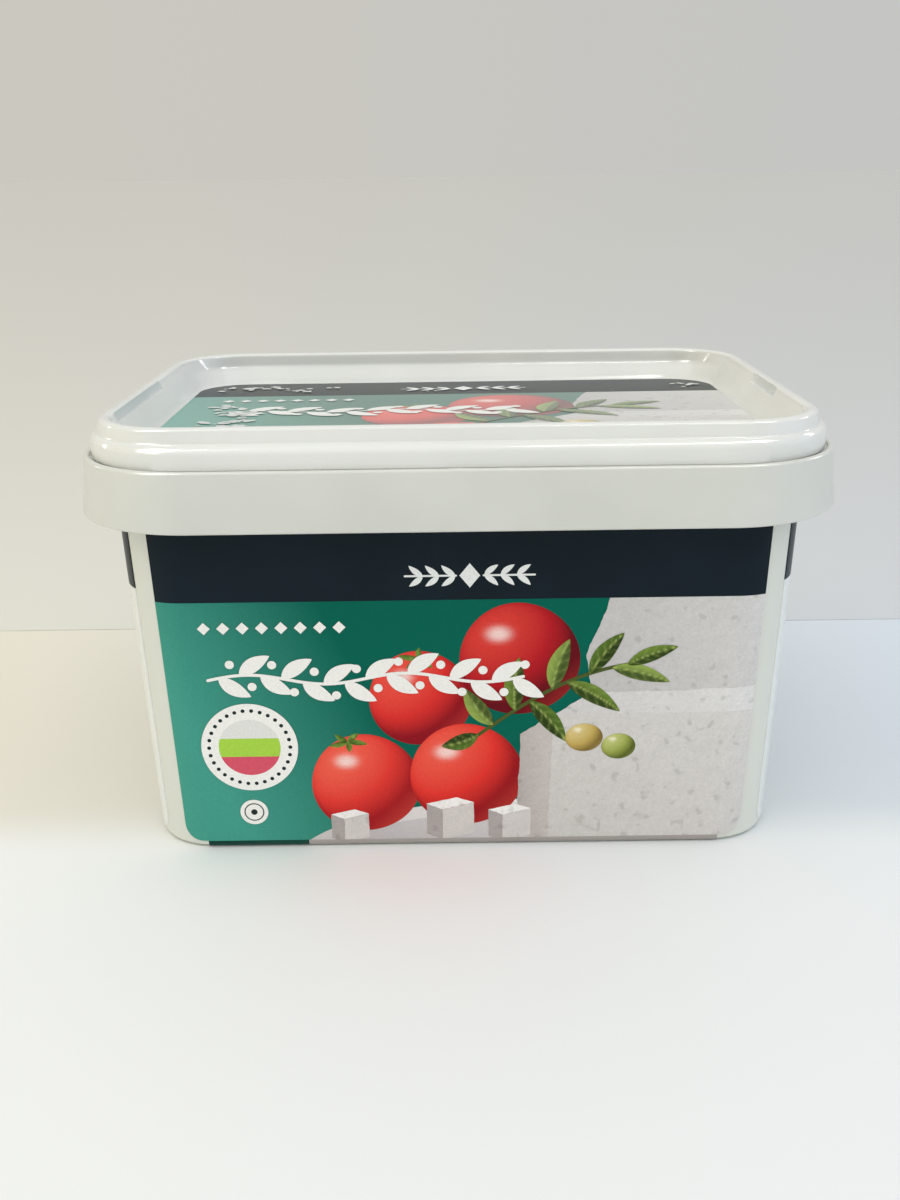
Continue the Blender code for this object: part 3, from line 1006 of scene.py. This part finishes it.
def draw_band_ornament(ink, centre, size):
    """A white lozenge between two rows of leaves, in the middle of the dark band."""
    white = "#e9ecea"
    u, v = centre
    r = 3.2 * size
    ink.shape(lozenge(u, v, r * 0.8, r), ORNAMENTS, white, 1.0, free=True)
    for side in (1, -1):
        for number in range(3):
            base = (u + side * (3.6 + number * 4.0) * size, v)
            for up in (1, -1):
                tip = (base[0] + side * 3.4 * size, v + up * 2.7 * size)
                ink.shape(leaf_outline(base, tip, 1.5 * size, 12), ORNAMENTS, white, 1.0, free=True)
        line = [(u + side * (3.4 + 12.6 * t) * size, v) for t in (0, 0.5, 1)]
        ink.shape(stroke(line[::side], 0.5 * size), ORNAMENTS + 1, white, 1.2, free=True)


def draw_design(name, surface, finishes, badge, small_badge, band_spot, band_size):
    """The picture and its ornaments on one surface. The spots are their places on it."""
    ink = Print(surface)
    draw_picture(ink)
    draw_ornaments(ink, badge, small_badge)
    draw_band_ornament(ink, band_spot, band_size)
    return ink.piece(name, finishes)


def draw_short_side(name, turn):
    """A pale panel of plain ruled lines, as where a table of contents would stand."""
    ink = Print(wall_surface(turn, []))
    middle = 34
    edge = round_box(34, 26, 4, 10)
    ink.shape([(u, v + middle) for u, v in edge], 1, "#0d6a57", 2.0)
    ink.shape([(u * 0.975, v * 0.966 + middle) for u, v in edge], 2, "#e9e8e4", 2.0)
    for row in range(9):
        v = 14 + row * 4.8
        ink.shape(box(-28, v - 0.16, 28, v + 0.16), 3, "#8fa7a0", 2.0)
    return ink.piece(name, [picture_ink])


def scuff_lid():
    """Where the lid's film is torn or rubbed off: ragged white flecks near the back left, a few elsewhere."""
    surface = lid_surface()
    surface.region = round_box(LID_HALF_X - 0.3, LID_HALF_Y - 0.3, 13, 12)
    ink = Print(surface)
    chance = random.Random(21)
    groups = [((-69, 43), (3, 3), 6, 1.1), ((-57, 44), (8, 3), 12, 1.5), ((-46, 40), (5, 4), 9, 1.3),
              ((-37, 43), (3, 1.5), 4, 1.2), ((-59, -4), (6, 14), 26, 1.9), ((-63, 12), (6, 9), 12, 1.4),
              ((-66, -11), (3, 4), 6, 1.2), ((71, 42), (4, 4), 9, 1.3), ((-10, 38), (4, 3), 3, 0.7),
              ((36, 24), (26, 10), 5, 0.4)]
    for (u, v), (spread_u, spread_v), count, size in groups:
        for index in range(count):
            centre = (chance.gauss(u, spread_u * 0.5), chance.gauss(v, spread_v * 0.5))
            radius = size * chance.uniform(0.3, 1.0)
            points = []
            for step in range(14):
                r = radius * chance.uniform(0.55, 1.25)
                points.append(on_ellipse(centre, r * 1.2, r, 2 * math.pi * step / 14))
            ink.shape(points, SCUFFS + index % 12, "#e6e9e6", 1.0)
    return ink.piece("lid_print_scuffs", [torn_film])


# The floor, the light and the camera

def make_stage():
    spans = [("floor", 3.0, -3.0, 3.0, -0.0001, floor_painted_shadow),
             ("backdrop", 60.0, BACKDROP_START, 60.0, 0.0, wall_painted_shade)]
    for name, half, near, far, height, finish in spans:
        mesh = bpy.data.meshes.new(name)
        mesh.from_pydata([(-half, near, height), (half, near, height), (half, far, height), (-half, far, height)],
                         [], [(0, 1, 2, 3)])
        mesh.materials.append(finish)
        add_object(name, mesh)


def add_lamp(name, kind, place, target, power, colour, size):
    """A lamp at a place, aimed at a target. size is a sun's angle in degrees or a panel's width and height."""
    data = bpy.data.lights.new(name, kind)
    data.energy = power
    data.color = linear(colour)
    if kind == "SUN":
        data.angle = math.radians(size)
    else:
        data.shape = "RECTANGLE"
        data.size, data.size_y = size
    lamp = add_object(name, data)
    lamp.location = place
    lamp.rotation_mode = "QUATERNION"
    lamp.rotation_quaternion = (Vector(target) - Vector(place)).to_track_quat("-Z", "Y")
    return lamp


def add_window(name, azimuth, elevation, width, height, radiance=12):
    """A bright pane for the gloss alone, in degrees as seen from the tub. Azimuth 0 is the front, 90 the right."""
    turn, rise = math.radians(azimuth), math.radians(elevation)
    place = Vector(WINDOW_TARGET) + WINDOW_DISTANCE * Vector((
        math.sin(turn) * math.cos(rise), -math.cos(turn) * math.cos(rise), math.sin(rise)))
    size = [2 * WINDOW_DISTANCE * math.tan(math.radians(span / 2)) for span in (width, height)]
    pane = add_lamp(name, "AREA", place, WINDOW_TARGET, radiance * math.pi * size[0] * size[1], "#fffdf8", size)
    pane.visible_diffuse = False


def make_room():
    """An even pale room, with a greyer wall low down behind the tub."""
    world = bpy.data.worlds.new("pale_room")
    world.use_nodes = True
    way = add(world, "TexCoord").outputs["Generated"]
    way = add(world, "SeparateXYZ", {"Vector": way}).outputs
    behind = map_range(world, way["Y"], 0.3, 0.85, smooth=True)
    low = map_range(world, way["Z"], 0.5, 0.16, smooth=True)
    wall = mix_colours(world, map_range(world, way["X"], -0.4, 0.4, smooth=True), "#cbc8bf", "#c5c5c3")
    tint = mix_colours(world, calculate(world, "MULTIPLY", behind, low), "#dddcd8", wall)
    link(tint, world.node_tree.nodes["Background"], "Color")
    bpy.context.scene.world = world


def light_scene():
    make_room()
    middle = (0, 0, 0.06)
    add_lamp("soft_ceiling", "SUN", (-0.08, -0.35, 1.0), middle, 1.0, "#ffffff", 70)
    add_lamp("warm_left", "SUN", (-1.0, -0.3, 0.2), middle, 0.46, "#ffe28e", 60)
    add_lamp("cool_right", "SUN", (1.0, -0.3, 0.2), middle, 0.56, "#b0ccff", 60)
    add_window("tall_window_left", -50, 38, 22, 50)
    add_window("window_right", 58, 47, 14, 26)
    add_window("strip_light_right", 38, 61, 34, 8)
    add_window("low_window_right", 102, 18, 7, 18)
    add_window("low_window_left", -100, 6, 5, 12)
    bpy.context.scene.view_settings.view_transform = "Standard"


def make_camera():
    data = bpy.data.cameras.new("photo_camera")
    data.sensor_width = 36
    data.lens = CAMERA_LENS
    data.clip_start = 0.01
    camera = add_object("photo_camera", data)
    turn = (Matrix.Rotation(CAMERA_YAW, 4, "Z") @ Matrix.Rotation(math.pi / 2 - CAMERA_PITCH, 4, "X")
            @ Matrix.Rotation(-CAMERA_ROLL, 4, "Z"))
    camera.matrix_world = Matrix.Translation(CAMERA_PLACE) @ turn
    bpy.context.scene.camera = camera


make_camera()
make_tub()
make_lid()
make_wall_label("front", 0, LONG_LABEL_WRAP, teal_ink, BAND_BOTTOM)
make_wall_label("back", 2, LONG_LABEL_WRAP, teal_ink, BAND_BOTTOM)
make_wall_label("right", 1, SHORT_LABEL_WRAP, pale_ink, SIDE_BAND_BOTTOM)
make_wall_label("left", 3, SHORT_LABEL_WRAP, pale_ink, SIDE_BAND_BOTTOM)
make_label_hem("front_label_hem", 0)
make_label_hem("back_label_hem", 2)
make_lid_label()
for name, turn in (("picture_on_front", 0), ("picture_on_back", 2)):
    draw_design(name, long_wall_surface(turn), [picture_ink, cheese_ink],
                (-52.2, 28.4), (-52.3, 10.3), (2.3, 72.6), 0.95)
draw_short_side("panel_on_right", 1)
draw_short_side("panel_on_left", 3)
draw_design("picture_on_lid", lid_surface(), [lid_picture_ink, lid_cheese_ink],
            (-53, 15.5), (-37, 8.5), (2.3, 40.0), 1.15)
scuff_lid()
make_stage()
light_scene()
